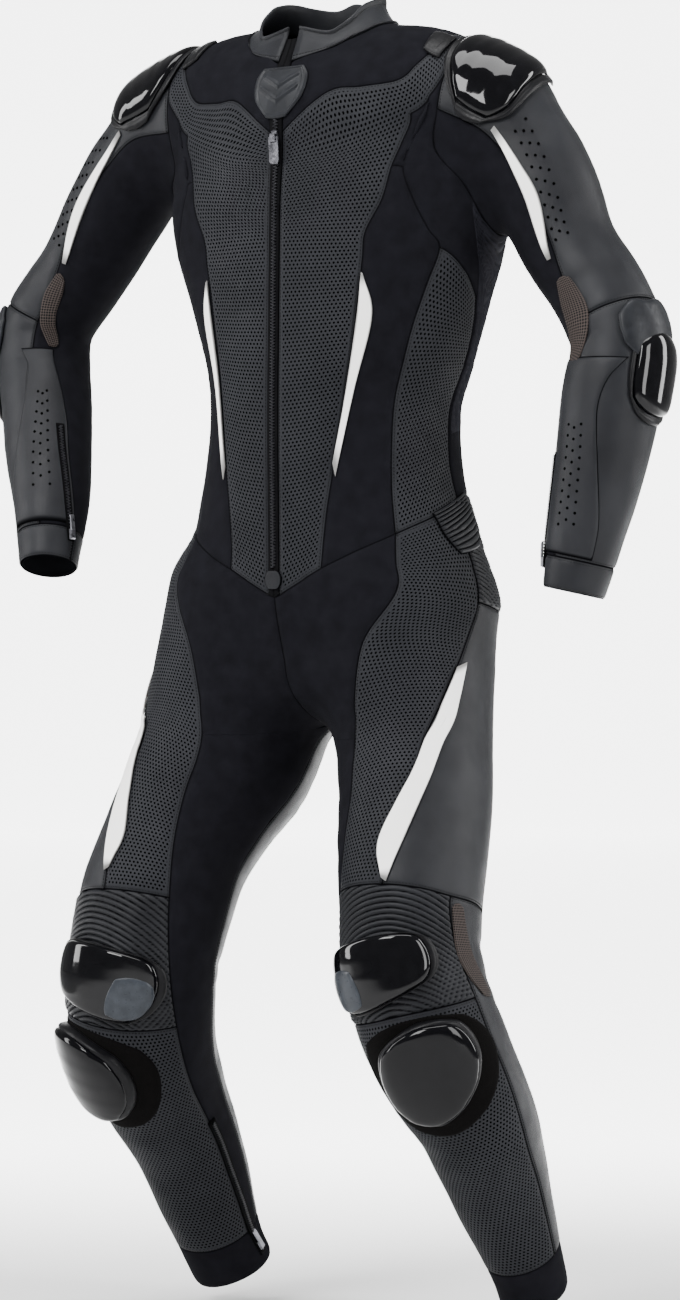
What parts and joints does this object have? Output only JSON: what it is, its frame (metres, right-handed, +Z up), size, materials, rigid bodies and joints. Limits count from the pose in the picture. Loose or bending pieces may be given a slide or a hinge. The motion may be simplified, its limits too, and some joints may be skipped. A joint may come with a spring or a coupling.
{
  "type": "one-piece motorcycle race suit, worn form with no wearer",
  "caption": "Women's one-piece leather race suit in black with white stripes, stretch panels, armoured shoulders, elbows and knees, and knee sliders.",
  "frame": {"origin": "point between the shoulders at the height where the suit rests on the wearer beside the neck", "axes": "+Z up along the body, front of the suit toward -Y, +X toward the wearer's left"},
  "size_m": [0.8342, 0.3295, 1.368],
  "materials": {
    "leather_perforated": "matte perforated",
    "leather_smooth": "satin grain",
    "leather_white": "satin",
    "stretch_fabric": "matte stretch weave",
    "hard_gloss": "gloss",
    "slider_gloss": "gloss",
    "badge_rubber": "satin moulded",
    "zip_metal": "black satin",
    "zip_cloth": "woven tape"
  },
  "bodies": {
    "suit": {"centre_front_left": "leather_perforated", "centre_front_right": "leather_perforated", "side_body_left": "leather_perforated", "side_body_right": "leather_perforated", "thigh_front_left": "leather_perforated", "thigh_front_right": "leather_perforated", "shin_left": "leather_perforated", "shin_right": "leather_perforated", "sleeve_outer_left": "leather_smooth", "sleeve_outer_right": "leather_smooth", "forearm_left": "leather_smooth", "forearm_right": "leather_smooth", "cuff_left": "leather_smooth", "cuff_right": "leather_smooth", "thigh_outer_left": "leather_smooth", "thigh_outer_right": "leather_smooth", "leg_back_left": "leather_smooth", "leg_back_right": "leather_smooth", "waist_inset_left": "leather_smooth", "waist_inset_right": "leather_smooth", "knee_accordion_left": "leather_smooth", "knee_accordion_right": "leather_smooth", "seat_left": "leather_smooth", "seat_right": "leather_smooth", "back": "leather_smooth", "zip_end_patch": "leather_smooth", "torso_stripe_left": "leather_white", "torso_stripe_right": "leather_white", "sleeve_stripe_left": "leather_white", "sleeve_stripe_right": "leather_white", "thigh_stripe_left": "leather_white", "thigh_stripe_right": "leather_white", "side_front_left": "stretch_fabric", "side_front_right": "stretch_fabric", "underarm_left": "stretch_fabric", "underarm_right": "stretch_fabric", "hip_front_left": "stretch_fabric", "hip_front_right": "stretch_fabric", "inner_leg_left": "stretch_fabric", "inner_leg_right": "stretch_fabric", "hem_left": "stretch_fabric", "hem_right": "stretch_fabric", "sleeve_inner_left": "stretch_fabric", "sleeve_inner_right": "stretch_fabric", "yoke": "stretch_fabric", "collar": "stretch_fabric", "shoulder_cup_left": "hard_gloss", "shoulder_cup_right": "hard_gloss", "elbow_cup_left": "hard_gloss", "elbow_cup_right": "hard_gloss", "knee_cup_left": "hard_gloss", "knee_cup_right": "hard_gloss", "knee_slider_left": "slider_gloss", "knee_slider_right": "slider_gloss", "throat_badge": "badge_rubber", "zip_slider": "zip_metal", "zip_tape_left": "zip_cloth", "zip_tape_right": "zip_cloth"},
    "pull": {"zip_pull": "zip_metal"}
  },
  "joints": [
    {"name": "zip_pull_swing", "type": "hinge", "parent": "suit", "child": "pull", "pos_m": [0, -0.12136, -0.12101], "axis": [-1, 0, 0], "range_deg": [0, 140]}
  ]
}
